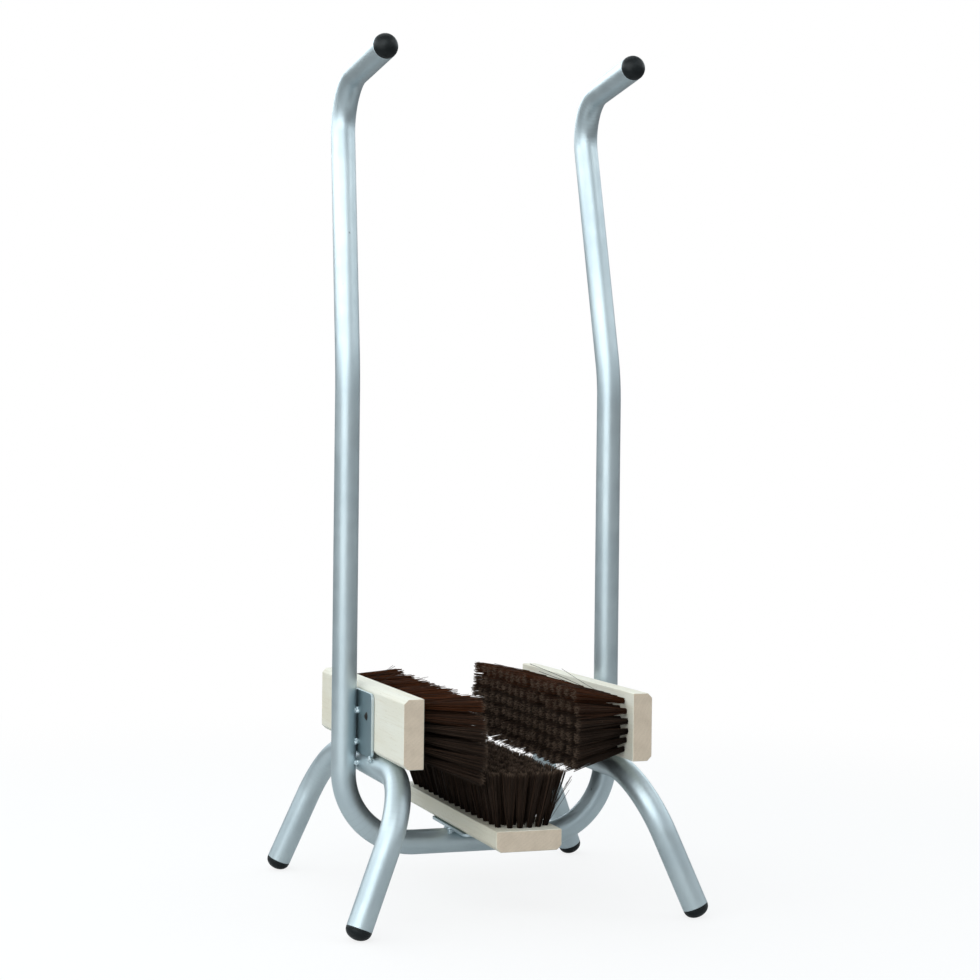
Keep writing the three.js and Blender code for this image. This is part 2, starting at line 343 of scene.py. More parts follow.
def silverPaint(name, shade):
    tree = MaterialTree(name, paintValues)
    clouds = tree.pattern("clouds")
    colour = tree.blend(tree.through(clouds, "cloudRamp"), "dark", "light")
    colour = tree.blend(tree.pattern("flakes"), colour, "flake")
    # small rubs and knocks
    scratches = tree.times(tree.pattern("scratches"), "scratchShare")
    worn = tree.maths("MAXIMUM", tree.pattern("rubs"), scratches)
    colour = tree.blend(tree.times(worn, "wornShare"), colour, "scuff")
    # marks that the bending die left
    patches = tree.times(tree.attribute("marks"), tree.through(clouds, "markClouds"))
    marks = tree.times(tree.waves(tree.attribute("along"), "markPitch", "markRamp"), patches)
    colour = tree.blend(tree.times(marks, "markShare"), colour, "scuff")
    rough = tree.maths("ADD", tree.pattern("sheen"), tree.times(worn, "wornRoughness"))
    # the shade multiplies the colour: painted shade on the plates, none on the tubes
    tree.look(baseColor=tree.blend(1.0, colour, shade, "MULTIPLY"), metallic="metallic", roughness=rough)
    height = tree.times(tree.pattern("peel"), "peelHeight")
    height = tree.maths("SUBTRACT", height, tree.times(marks, "markDepth"))
    tree.bump(tree.maths("SUBTRACT", height, tree.times(worn, "wornDepth")))
    return tree.material


plasticValues = {
    "dark": (0.005, 0.007, 0.0075, 1),
    "dust": (0.021, 0.026, 0.028, 1),
    "gloss": 0.26,
    "dusting": {"scale": 160, "detail": 5, "roughness": 0.65, "ramp": (0.48, 0.75, 0, 0.5)},
    "sheen": {"scale": 300, "detail": 3, "ramp": (0.3, 0.7, 0.34, 0.5)},
    "grain": {"scale": 2600, "detail": 2},
    "bump": (0.35, 0.00008),
}


def blackPlastic():
    tree = MaterialTree("blackPlastic", plasticValues)
    tree.look(baseColor=tree.blend(tree.pattern("dusting"), "dark", "dust"))
    tree.look(roughness=tree.pattern("sheen"), specularIorLevel="gloss")
    tree.bump(tree.pattern("grain"))
    return tree.material


woodValues = {
    "pale": (0.84, 0.80, 0.69, 1),
    "warm": (0.78, 0.71, 0.57, 1),
    "streak": (0.68, 0.59, 0.45, 1),
    "pore": (0.46, 0.36, 0.25, 1),
    "figure": {"scale": 22, "detail": 3, "stretch": (1, 0.12, 1), "ramp": (0.38, 0.66)},
    "fibres": {"scale": 620, "detail": 3, "roughness": 0.6, "stretch": (1, 0.03, 1)},
    "fibreRamp": (0.5, 0.75, 0, 0.4),
    "fibreSheen": (0.3, 0.7, 0.54, 0.72),
    "fibreHeight": 0.4,
    "pores": {"scale": 1250, "detail": 1, "stretch": (1, 0.16, 1), "ramp": (0.70, 0.76)},
    "poreShare": 0.55,
    "bump": (0.45, 0.00012),
}


def paleWood():
    tree = MaterialTree("paleWood", woodValues)
    fibres, pores = tree.pattern("fibres"), tree.pattern("pores")
    colour = tree.blend(tree.pattern("figure"), "pale", "warm")
    colour = tree.blend(tree.through(fibres, "fibreRamp"), colour, "streak")
    colour = tree.blend(tree.times(pores, "poreShare"), colour, "pore")
    tree.look(baseColor=colour, roughness=tree.through(fibres, "fibreSheen"))
    tree.bump(tree.maths("SUBTRACT", tree.times(fibres, "fibreHeight"), pores))
    return tree.material


endGrainValues = {
    "pale": (0.71, 0.575, 0.445, 1),
    "dark": (0.57, 0.45, 0.34, 1),
    "pore": (0.36, 0.25, 0.17, 1),
    "roughness": 0.78,
    "fromHeart": (0.31, 0.0, -0.42),
    "acrossGrain": (1, 0, 1),
    "ringPitch": 0.0034,
    "ringRamp": (-0.6, 1.0, 0, 0.17),
    "waver": {"scale": 45, "detail": 3},
    "waverReach": 0.011,
    "clouds": {"scale": 70, "detail": 4, "ramp": (0.35, 0.7, 0, 0.45)},
    "pores": {"scale": 1500, "detail": 2, "stretch": (1, 0, 1), "ramp": (0.56, 0.7)},
    "poreShare": 0.42,
    "bump": (0.6, 0.0002),
}


def endGrain():
    tree = MaterialTree("endGrain", endGrainValues)
    # the growth rings lie round the heart of the trunk, which is outside the block
    fromHeart = tree.stretched(tree.vectors("ADD", tree.place, "fromHeart"), "acrossGrain")
    waver = tree.times(tree.pattern("waver"), "waverReach")
    distance = tree.maths("ADD", tree.vectors("LENGTH", fromHeart, output=1), waver)
    colour = tree.blend(tree.waves(distance, "ringPitch", "ringRamp"), "pale", "dark")
    colour = tree.blend(tree.pattern("clouds"), colour, "dark")
    pores = tree.pattern("pores")
    colour = tree.blend(tree.times(pores, "poreShare"), colour, "pore")
    tree.look(baseColor=colour, roughness="roughness")
    tree.bump(tree.times(pores, -1))
    return tree.material


filamentValues = {
    "root": (0.010, 0.007, 0.0055, 1),
    "middle": (0.038, 0.0245, 0.018, 1),
    "tip": (0.18, 0.125, 0.09, 1),
    "pale": (0.078, 0.044, 0.029, 1),
    # painted light from above, for the uppermost rows
    "faded": (0.094, 0.026, 0.008, 1),
    "gloss": 0.03,
    "rootRamp": (0.0, 0.55),
    "paleRamp": (0.55, 1.0, 0, 0.7),
    "fadedRamp": (0.0, 0.9, 0.25, 1.0),
    "coreRamp": (0.15, 0.9, 1.0, 0.1),
    "tipRamp": (0.955, 1.0),
    "roughRamp": (0.0, 1.0, 0.44, 0.56),
    "tipRoughRamp": (0.965, 1.0, 0, 0.3),
    "grain": {"scale": 3000, "detail": 1},
    "bump": (0.15, 0.00005),
}


def brownBristle():
    tree = MaterialTree("brownBristle", filamentValues)
    along, tone = tree.attribute("along"), tree.attribute("tone")
    # painted shade: the strands darken towards their roots, deep in the tuft
    colour = tree.blend(tree.through(along, "rootRamp"), "root", "middle")
    colour = tree.blend(tree.through(tone, "paleRamp"), colour, "pale")
    # painted light: a redder colour on the uppermost rows of the side brushes, where light from above falls
    faded = tree.times(tree.attribute("faded"), tree.through(tone, "fadedRamp"))
    colour = tree.blend(faded, colour, "faded")
    # painted shade: the light tip colour stays on a tuft's core, and its outer strands, in the shade of their
    # neighbours, keep a darker colour
    core = tree.through(tree.attribute("rim"), "coreRamp")
    colour = tree.blend(tree.times(tree.through(along, "tipRamp"), core), colour, "tip")
    rough = tree.maths("ADD", tree.through(tone, "roughRamp"), tree.through(along, "tipRoughRamp"))
    tree.look(baseColor=colour, roughness=rough, specularIorLevel="gloss")
    tree.bump(tree.pattern("grain"))
    return tree.material


steelValues = {
    "dark": (0.016, 0.015, 0.014, 1),
    "stained": (0.05, 0.042, 0.036, 1),
    "metallic": 0.2,
    "gloss": 0.12,
    "roughRamp": (0, 1, 0.38, 0.6),
    "stains": {"scale": 900, "detail": 4, "roughness": 0.6, "ramp": (0.4, 0.7)},
    "grain": {"scale": 2200, "detail": 2},
    "bump": (0.3, 0.00008),
}


def darkSteel():
    tree = MaterialTree("darkSteel", steelValues)
    stains = tree.pattern("stains")
    tree.look(baseColor=tree.blend(stains, "dark", "stained"), roughness=tree.through(stains, "roughRamp"))
    tree.look(metallic="metallic", specularIorLevel="gloss")
    tree.bump(tree.pattern("grain"))
    return tree.material


paint = silverPaint("silverPaint", "tubeShade")
# painted shade: a darker copy of the tube paint for the plates
platePaint = silverPaint("platePaint", "plateShade")
plastic = blackPlastic()
wood = paleWood()
woodEnd = endGrain()
bristle = brownBristle()
steel = darkSteel()
print("materials made")


# bent tubes of the frame and the two leg arches; a bend is its radius and how clear its marks are

tubeValues = {
    "radius": 12.5,
    "wall": 1.5,
    "sides": 56,
    "degreesPerRing": 2.5,
    "straightStep": 12,
    "flattening": 0.025,
    "bendEase": 0.25,
    "endBevel": 0.25,
    "sharpAngle": 40,
}
frameValues = {
    "upright": 141.6,
    "loopHeight": 54.5,
    "loopBend": (75, 0.45),
    "kinkHeight": 530,
    "kinkBend": (195, 0.15),
    "leanBack": 12.7,
    "leanIn": 1.55,
    "handleHeight": 829,
    "handleBend": (46, 1.0),
    "handleLength": 150,
    "handleRise": 4,
    "handleToeIn": 1.6,
}
archValues = {
    "across": 116.3,
    "height": 138.3,
    "halfLength": 148.4,
    "bend": (74, 0.35),
    "spread": 22.3,
    "splay": 8.8,
    "footHeight": 10.59,
}


def slope(angle):
    return math.tan(math.radians(angle))


def frameCorners(side):
    values = frameValues
    rise = values["handleHeight"] - values["kinkHeight"]
    kink = Vector((side * values["upright"], 0, values["kinkHeight"]))
    lean = Vector((-side * rise * slope(values["leanIn"]), rise * slope(values["leanBack"]), rise))
    corner = kink + lean
    towardsUser = Vector((-side * slope(values["handleToeIn"]), -1, slope(values["handleRise"])))
    end = corner + towardsUser.normalized() * values["handleLength"]
    return [end, corner, kink, Vector((side * values["upright"], 0, values["loopHeight"]))]


def archCorners(side):
    values = archValues
    drop = values["height"] - values["footHeight"]
    corners = []
    for end in (-1, 1):
        corner = Vector((side * values["across"], end * values["halfLength"], values["height"]))
        foot = corner + Vector((side * slope(values["spread"]), end * slope(values["splay"]), -1)) * drop
        corners += [foot, corner] if end < 0 else [corner, foot]
    return corners


def pathRings(corners, bends):
    # rings along straight runs and round bends
    rings = []

    def addRing(point, direction, inward=Vector(), fade=0.0, marks=0.0):
        rings.append({
            "point": point, "direction": direction.normalized(),
            "inward": inward, "fade": fade, "marks": marks * fade,
        })

    def addRun(start, end):
        count = max(1, round((end - start).length / tubeValues["straightStep"]))
        for i in range(1, count + 1):
            addRing(start.lerp(end, i / count), end - start)

    place = corners[0]
    addRing(place, corners[1] - corners[0])
    for i, (radius, marks) in enumerate(bends, 1):
        inward = (corners[i] - corners[i - 1]).normalized()
        outward = (corners[i + 1] - corners[i]).normalized()
        turn = inward.angle(outward)
        axis = inward.cross(outward).normalized()
        start = corners[i] - inward * radius * math.tan(turn / 2)
        addRun(place, start)
        arm = axis.cross(inward) * radius
        centre = start + arm
        count = math.ceil(math.degrees(turn) / tubeValues["degreesPerRing"])
        for k in range(1, count + 1):
            rotation = Matrix.Rotation(turn * k / count, 3, axis)
            point = centre - rotation @ arm
            fade = min(1.0, k / count / tubeValues["bendEase"], (count - k) / count / tubeValues["bendEase"])
            addRing(point, rotation @ inward, (centre - point).normalized(), fade, marks)
        place = rings[-1]["point"].copy()
    addRun(place, corners[-1])
    return rings


def tubeLoops(source, rings):
    # an outer and an inner loop of points at each ring, slightly flattened in the bends, which know
    # how far along the tube they lie and how clear the marks are
    alongLayer = source.verts.layers.float.new("along")
    marksLayer = source.verts.layers.float.new("marks")
    radius, sides = tubeValues["radius"], tubeValues["sides"]
    outer, inner = [], []
    normal = rings[0]["direction"].orthogonal().normalized()
    before = rings[0]["point"]
    travelled = 0.0
    for ring in rings:
        point, direction = ring["point"], ring["direction"]
        normal = (normal - direction * normal.dot(direction)).normalized()
        side = direction.cross(normal)
        travelled += (point - before).length
        before = point
        for loops, reach in ((outer, radius), (inner, radius - tubeValues["wall"])):
            loop = []
            for i in range(sides):
                angle = 2 * math.pi * i / sides
                arm = normal * math.cos(angle) + side * math.sin(angle)
                squeeze = 1.0 - tubeValues["flattening"] * ring["fade"] * arm.dot(ring["inward"]) ** 2
                vert = source.verts.new((point + arm * reach * squeeze) * mm)
                vert[alongLayer] = travelled * mm
                vert[marksLayer] = ring["marks"]
                loop.append(vert)
            loops.append(loop)
    return outer, inner


def sweepTube(name, corners, bends):
    rings = pathRings(corners, bends)
    source = bmesh.new()
    outer, inner = tubeLoops(source, rings)
    for loops in (outer, inner):
        for low, high in zip(loops, loops[1:]):
            bridged(source, low, high)
    ends = bridged(source, outer[0], inner[0]) + bridged(source, outer[-1], inner[-1])
    rims = [edge for face in ends for edge in face.edges if sum(f in ends for f in edge.link_faces) == 1]
    softened(source, rims, tubeValues["endBevel"], 1)
    tube = solid(name, source)
    smooth(tube, tubeValues["sharpAngle"])
    dress(tube, paint)
    return tube, rings


frameBends = [frameValues[key] for key in ("handleBend", "kinkBend", "loopBend")]
frameBends += frameBends[::-1]
frameTube, frameRings = sweepTube("frameTube", frameCorners(-1) + frameCorners(1)[::-1], frameBends)
settle(frameTube, "silver_paint", "frame_tube")
archRings = {}
for sideName, side in (("Left", -1), ("Right", 1)):
    arch, archRings[side] = sweepTube("legArch" + sideName, archCorners(side), [archValues["bend"]] * 2)
    settle(arch, "silver_paint", "leg_arch_" + sideName.lower())
print("tubes bent")


# domed caps on the tube ends, each with a ribbed stem in the tube

capValues = {
    "radius": 12.45,
    "height": 10.5,
    "rim": 1.5,
    "gap": 0.12,
    "edge": 0.45,
    "edgeBulge": 0.3,
    "rimLand": 0.2,
    "partingStep": 0.12,
    "sides": 56,
    "steps": 16,
    "sharpAngle": 28,
    "stem": 16,
    "stemRadius": 10.3,
    "ribs": (0.75, 0.45, 0.15),
    "ribDepth": 1,
    "ribHeight": 1.4,
}


def capProfile():
    # from the bottom of the stem to the top of the dome
    radius, height, rim, gap, edge = (capValues[key] for key in ("radius", "height", "rim", "gap", "edge"))
    stem, ribRadius = capValues["stem"], capValues["stemRadius"]
    groove = ribRadius - capValues["ribDepth"]
    profile = [(0, -stem), (groove, -stem)]
    for share in capValues["ribs"]:
        profile += [(groove, -stem * share - capValues["ribHeight"]), (ribRadius, -stem * share)]
    profile += [(groove, 0), (groove, gap)]
    bulge = capValues["edgeBulge"] * edge
    profile += [(radius - edge, gap), (radius - bulge, gap + bulge)]
    profile += [(radius, gap + edge), (radius, rim - capValues["rimLand"])]
    domeRadius = radius - capValues["partingStep"]
    for i in range(capValues["steps"]):
        angle = math.pi / 2 * i / capValues["steps"]
        profile.append((domeRadius * math.cos(angle), rim + (height - rim) * math.sin(angle)))
    return profile + [(0, height)]


def addCap(name, node, rings, end, cutLevel=False):
    # the cap closes the tube's first end, 0, or its last, -1; a foot is cut level with the floor
    outward = rings[end]["direction"] if end else -rings[end]["direction"]
    source = bmesh.new()
    revolve(source, capProfile(), capValues["sides"], turnedTo(outward, rings[end]["point"] * mm))
    if cutLevel:
        geometry = source.verts[:] + source.edges[:] + source.faces[:]
        level = {"plane_co": (0, 0, 0), "plane_no": (0, 0, -1), "clear_outer": True}
        cut = bmesh.ops.bisect_plane(source, geom=geometry, dist=tiny, **level)
        rim = [item for item in cut["geom_cut"] if isinstance(item, bmesh.types.BMEdge)]
        bmesh.ops.contextual_create(source, geom=rim)
    cap = solid(name, source)
    smooth(cap, capValues["sharpAngle"])
    dress(cap, plastic)
    settle(cap, "black_plastic", node)


for sideName, side, end in (("Left", -1, 0), ("Right", 1, -1)):
    addCap("handleCap" + sideName, "handle_cap_" + sideName.lower(), frameRings, end)
    for footName, foot in (("Front", 0), ("Back", -1)):
        node = f"foot_cap_{footName.lower()}_{sideName.lower()}"
        addCap("footCap" + footName + sideName, node, archRings[side], foot, cutLevel=True)
print("caps fitted")


# stations: each holds a plate, a block and bristles, stacked along its own Z from the tube

stationValues = {
    "face": 128.8,
    "brushHeight": 185.0,
    "bottomFace": 67.3,
    "plateOffset": 4.48,
    "screwLift": 3.5,
    "screwReach": 38,
    "sideTacks": (160.02, 191.02),
    "archTackHeight": 147.72,
    "bottomTack": 29.5,
}
stations = {"left": -1, "right": 1, "bottom": 0}


def stationMatrix(side):
    if side == 0:
        return Matrix.Translation((0, 0, stationValues["bottomFace"] * mm))
    place = (side * stationValues["face"] * mm, 0, stationValues["brushHeight"] * mm)
    return Matrix.Translation(place) @ Matrix.Rotation(-side * math.pi / 2, 4, "Y")


def screwPlaces(side):
    across, reach = side * stationValues["screwLift"], stationValues["screwReach"]
    return [Vector((across, end * reach, 0)) for end in (-1, 1)]


# plates with countersunk holes

plateValues = {
    "length": 112,
    "width": 63,
    "thickness": 3,
    "corner": 6,
    "cornerSteps": 8,
    "edge": 0.45,
    "edgeSteps": 2,
    "sharpAngle": 50,
    "cutEdgeTilt": 0.5,
    "holeRadius": 2.3,
    "holeSides": 40,
    "headRadius": 4.45,
    "cutAbove": 1,
    "cutDepth": 9,
}


def countersink(places):
    head, hole = plateValues["headRadius"], plateValues["holeRadius"]
    above, depth = plateValues["cutAbove"], plateValues["cutDepth"]
    profile = [(0, -above), (head + above, -above), (head, 0), (hole, head - hole), (hole, depth), (0, depth)]
    source = bmesh.new()
    for place in places:
        revolve(source, profile, plateValues["holeSides"], Matrix.Translation(place * mm))
    return solid("countersink", source)


def plateOutline(side):
    middle = -side * stationValues["plateOffset"]
    corner, steps = plateValues["corner"], plateValues["cornerSteps"]
    outline = []
    for quarter, (signX, signY) in enumerate(((1, 1), (-1, 1), (-1, -1), (1, -1))):
        for i in range(steps + 1):
            angle = math.pi / 2 * (quarter + i / steps)
            x = middle + signX * (plateValues["width"] / 2 - corner) + corner * math.cos(angle)
            y = signY * (plateValues["length"] / 2 - corner) + corner * math.sin(angle)
            outline.append((x, y, 0))
    return outline


def addPlate(name, side):
    source = prism(plateOutline(side), (0, 0, plateValues["thickness"]))
    rims = [edge for edge in source.edges if abs(edge.verts[0].co.z - edge.verts[1].co.z) < tiny]
    softened(source, rims, plateValues["edge"], plateValues["edgeSteps"])
    plate = solid(name + "Plate", source)
    cutAway(plate, countersink(screwPlaces(side)))
    plate.data.transform(stationMatrix(side))
    smooth(plate, plateValues["sharpAngle"])
    evenNormals(plate)
    # painted shade: the faces take the darker copy of the paint and the cut edges the plain one, as if the
    # edges caught more light than the faces
    outward = stationMatrix(side).to_3x3() @ Vector((0, 0, 1))
    tilt = plateValues["cutEdgeTilt"]
    dressFaces(plate, platePaint, paint, lambda normal: abs(normal.dot(outward)) < tilt)
    settle(plate, "silver_paint", name + "_brush_plate")


for name, side in stations.items():
    addPlate(name, side)
print("plates cut")


# trees of geometry nodes

class GeometryTree(Tree):
    def __init__(self, name, sockets):
        self.group = bpy.data.node_groups.new(name, "GeometryNodeTree")
        super().__init__(self.group)
        interface = self.group.interface
        for label, kind in (("Geometry", "Geometry"), *sockets, ("Seed", "Int"), ("Finish", "Material")):
            interface.new_socket(name=label, in_out="INPUT", socket_type="NodeSocket" + kind)
        interface.new_socket(name="Geometry", in_out="OUTPUT", socket_type="NodeSocketGeometry")
        self.given = self.nodes.new("NodeGroupInput")
        self.result = self.nodes.new("NodeGroupOutput")

    def value(self, label):
        return self.given.outputs[label]

    def named(self, name, kind="FLOAT"):
        return mainOutput(self.add("GeometryNodeInputNamedAttribute", {"data_type": kind}, name=name))

    def store(self, geometry, name, value, kind="FLOAT", domain="POINT"):
        settings = {"data_type": kind, "domain": domain}
        inputs = {"geometry": geometry, "name": name, "value": value}
        return self.add("GeometryNodeStoreNamedAttribute", settings, **inputs)

    def random(self, low, high, step):
        # each draw has a step of its own, so that no two are alike
        inputs = {"min": low, "max": high, "seed": self.maths("ADD", self.value("Seed"), float(step))}
        return mainOutput(self.add("FunctionNodeRandomValue", {"data_type": "FLOAT"}, **inputs))

    def combine(self, x, y, z):
        return self.add("ShaderNodeCombineXYZ", None, x, y, z).outputs[0]

    def scaled(self, vector, factor):
        node = self.add("ShaderNodeVectorMath", {"operation": "SCALE"}, vector)
        self.plug(factor, node.inputs["Scale"])
        return node.outputs[0]

    def planted(self, points, item, twist, facing, scale):
        # an item on each point, twisted about its own Z, which then faces its own way
        turned = self.add("FunctionNodeEulerToRotation", None, euler=self.combine(0.0, 0.0, twist))
        aligned = self.add("FunctionNodeAlignRotationToVector", {"axis": "Z"}, rotation=turned, vector=facing)
        inputs = {"points": points, "instance": item, "rotation": aligned, "scale": scale}
        return self.add("GeometryNodeInstanceOnPoints", None, **inputs)

    def finish(self, geometry):
        realized = self.add("GeometryNodeRealizeInstances", None, geometry=geometry)
        inputs = {"geometry": realized, "material": self.value("Finish")}
        self.feed(self.result, geometry=self.add("GeometryNodeSetMaterial", None, **inputs))


def scatterTree():
    tree = GeometryTree("scatteredItems", (("Item", "Object"), ("Smallest", "Float"), ("Largest", "Float")))
    item = tree.add("GeometryNodeObjectInfo", None, object=tree.value("Item")).outputs["Geometry"]
    twist = tree.random(0.0, 2 * math.pi, 1)
    size = tree.random(tree.value("Smallest"), tree.value("Largest"), 2)
    facing = tree.named("facing", "FLOAT_VECTOR")
    tree.finish(tree.planted(tree.value("Geometry"), item, twist, facing, tree.combine(size, size, size)))
    return tree.group


def pointsMesh(name, points, attributes):
    mesh = bpy.data.meshes.new(name)
    mesh.from_pydata(points, [], [])
    for label, (kind, values) in attributes.items():
        layer = mesh.attributes.new(label, kind, "POINT")
        field = "vector" if kind == "FLOAT_VECTOR" else "value"
        flat = [part for value in values for part in value] if kind == "FLOAT_VECTOR" else values
        layer.data.foreach_set(field, flat)
    return mesh


def grow(piece, group, inputs):
    # runs a tree on the piece once, keeps the plain result and drops its empty first material
    modifier = piece.modifiers.new("rows", "NODES")
    modifier.node_group = group
    for item in group.interface.items_tree:
        if item.in_out == "INPUT" and item.name in inputs:
            modifier[item.identifier] = inputs[item.name]
    applied(piece)
    piece.data.materials.pop(index=0)


def scatterItems(name, places, facings, item, values, finish):
    piece = newObject(name, pointsMesh(name, places, {"facing": ("FLOAT_VECTOR", facings)}))
    inputs = {"Item": item, "Seed": values["seed"], "Finish": finish}
    inputs["Smallest"], inputs["Largest"] = values["sizes"]
    grow(piece, scatter, inputs)
    bpy.data.objects.remove(item)
    return piece


scatter = scatterTree()


# weld tacks: one lumpy bead set on points

tackValues = {
    "radius": 3.0,
    "subdivisions": 4,
    "reach": 7,
    "wedge": -1.22,
    "archReach": 50,
    "archWedge": 1.5,
    "uprightTack": 129.87,
    "lumpSize": 2.1,
    "lumpHeight": 0.5,
    "lumpMiddle": 0.2,
    "sizes": (1.0, 1.25),
    "seed": 11,
}


def tackPoints():
    # a group of tacks at each seam, as its station, across, along and up, and again at the other end
    reach, wedge = tackValues["reach"], tackValues["wedge"]
    groups = []
    for side in (-1, 1):
        station = stationMatrix(side)
        for height in stationValues["sideTacks"]:
            groups.append([(station, side * (height - stationValues["brushHeight"]), reach, wedge)])
        lowered = side * (stationValues["archTackHeight"] - stationValues["brushHeight"])
        plateTack = (station, lowered, tackValues["archReach"], tackValues["archWedge"])
        uprightTack = (Matrix(), side * tackValues["uprightTack"], reach, archValues["height"])
        groups.append([plateTack, uprightTack])
    groups += [[(stationMatrix(0), side * stationValues["bottomTack"], reach, wedge)] for side in (-1, 1)]
    points = []
    for group in groups:
        for end in (-1, 1):
            points += [matrix @ (Vector((x, end * y, z)) * mm) for matrix, x, y, z in group]
    return points


def beadObject():
    source = bmesh.new()
    radius, subdivisions = tackValues["radius"] * mm, tackValues["subdivisions"]
    bmesh.ops.create_icosphere(source, subdivisions=subdivisions, radius=radius)
    for vert in source.verts:
        lump = noise.noise(vert.co / (tackValues["lumpSize"] * mm)) - tackValues["lumpMiddle"]
        vert.co *= 1 + tackValues["lumpHeight"] * lump
    bead = solid("bead", source)
    smooth(bead)
    return bead


tackPlaces = tackPoints()
randomFacing = random.Random(tackValues["seed"])
facings = [Vector([randomFacing.uniform(-1, 1) for _ in range(3)]).normalized() for _ in tackPlaces]
weldTacks = scatterItems("weldTacks", tackPlaces, facings, beadObject(), tackValues, paint)
settle(weldTacks, "silver_paint")
print("weld tacks set")


# countersunk screws with a cross recess

screwValues = {
    "headRadius": 4.3,
    "headDepth": 2.0,
    "rim": 0.25,
    "rimLand": 0.15,
    "dome": 1.9,
    "domeSteps": 6,
    "shankRadius": 2.0,
    "length": 18.3,
    "point": 4,
    "threadGap": 2,
    "threadPitch": 1.6,
    "threadDepth": 0.45,
    "threadRise": (0.55, 0.9),
    "sides": 32,
    "sharpAngle": 30,
    "recess": [(-2.6, 2.8, 1.2), (1.0, 1.0, 0.6)],
    "sizes": (1.0, 1.0),
    "seed": 4,
}


def screwProfile():
    # from the top of the domed head to the point
    head, shank, rim = (screwValues[key] for key in ("headRadius", "shankRadius", "rim"))
    dome, steps = screwValues["dome"], screwValues["domeSteps"]
    profile = [(0, -dome)]
    profile += [((head - rim) * i / steps, -dome * (1 - (i / steps) ** 2)) for i in range(1, steps + 1)]
    profile += [(head, rim), (head, rim + screwValues["rimLand"]), (shank, screwValues["headDepth"])]
    core, pitch = shank - screwValues["threadDepth"], screwValues["threadPitch"]
    rootEnd, crest = screwValues["threadRise"]
    threadFrom = screwValues["headDepth"] + screwValues["threadGap"]
    threadTo = screwValues["length"] - screwValues["point"]
    for i in range(int((threadTo - threadFrom) / pitch)):
        base = threadFrom + i * pitch
        profile += [(core, base), (core, base + rootEnd), (shank, base + crest)]
    return profile + [(core, threadTo), (0, screwValues["length"])]


def crossRecess():
    # a cross that narrows towards its bottom, as heights with the reach and width of the arms
    quarters = [Matrix.Rotation(math.pi / 2 * quarter, 3, "Z") for quarter in range(4)]
    source = bmesh.new()
    rings = []
    for height, reach, width in screwValues["recess"]:
        half = width / 2
        arm = [Vector((x, y, height)) for x, y in ((reach, -half), (reach, half), (half, half))]
        rings.append([source.verts.new(turn @ corner * mm) for turn in quarters for corner in arm])
    for ring in rings:
        source.faces.new(ring)
    bridged(source, *rings)
    return solid("recess", source)


def screwObject():
    source = bmesh.new()
    revolve(source, screwProfile(), screwValues["sides"], Matrix())
    screw = solid("screw", source)
    cutAway(screw, crossRecess())
    smooth(screw, screwValues["sharpAngle"])
    return screw


screwPoints, screwFacings, screwNodes = [], [], []
for name, side in stations.items():
    matrix = stationMatrix(side)
    screwPoints += [matrix @ (place * mm) for place in screwPlaces(side)]
    screwFacings += [matrix.to_3x3() @ Vector((0, 0, 1))] * 2
    screwNodes += [f"{name}_brush_screw_{place}" for place in ("front", "back")]
screws = scatterItems("screws", screwPoints, screwFacings, screwObject(), screwValues, steel)
settle(screws, "dark_steel", *screwNodes)
print("screws driven")


# wooden blocks

blockValues = {
    "length": 315,
    "width": 66,
    "thickness": 20,
    "back": 3.3,
    "chamfer": 4.5,
    "edge": 0.9,
    "edgeSteps": 3,
    "endTilt": 0.9,
}


def addBlock(name, side):
    half, chamfer, length = blockValues["width"] / 2, blockValues["chamfer"], blockValues["length"]
    low, high = blockValues["back"], blockValues["back"] + blockValues["thickness"]
    section = [(-half + chamfer, low), (half - chamfer, low), (half, low + chamfer)]
    section += [(half, high), (-half, high), (-half, low + chamfer)]
    source = prism([(x, -length / 2, z) for x, z in section], (0, length, 0))
    softened(source, source.edges[:], blockValues["edge"], blockValues["edgeSteps"])
    block = solid(name + "Block", source)
    block.data.transform(stationMatrix(side))
    smooth(block)
    evenNormals(block)
    dressFaces(block, wood, woodEnd, lambda normal: abs(normal.y) > blockValues["endTilt"])
    settle(block, "pale_wood", name + "_brush_block")


for name, side in stations.items():
    addBlock(name, side)
print("blocks planed")


# bristles: tufts of fine strands, fanned out from their drilled holes

bristleValues = {
    "rows": 6,
    "pitch": 17.9,
    "rowEdge": 9.3,
    "rowEnd": 14.5,
    "rowEndArc": 8.5,
    "face": 23.3,
    "length": {"left": 64, "right": 60, "bottom": 56},
    "droop": {"left": 11, "right": 2.5, "bottom": 0},
    "sink": 1.5,
    "endFan": 12,
    "outerTip": 34.0,
    "rootShift": (0.5, 0.6),
    "leanShift": (0.9, 1.2),
    "strands": 100,
    "strandShift": 6,
    "shortest": 0.012,
    "flares": (0.85, 1.15),
    "thickness": 0.54,
    "widths": (0.85, 1.1),
    "rootRadius": 2.6,
    "tipRadius": 6.5,
    "rowSpread": 1.4,
    "ragged": 0.05,
    "dome": 0.02,
    "waywardness": 0.017,
    "commonWay": 0.7,
    "outlierWay": 5.0,
    "outlierPower": 5.0,
    "bend": 1.2,
    "faded": (0.85, 0.3),
    "seed": 20,
    "seedStep": 10,
}
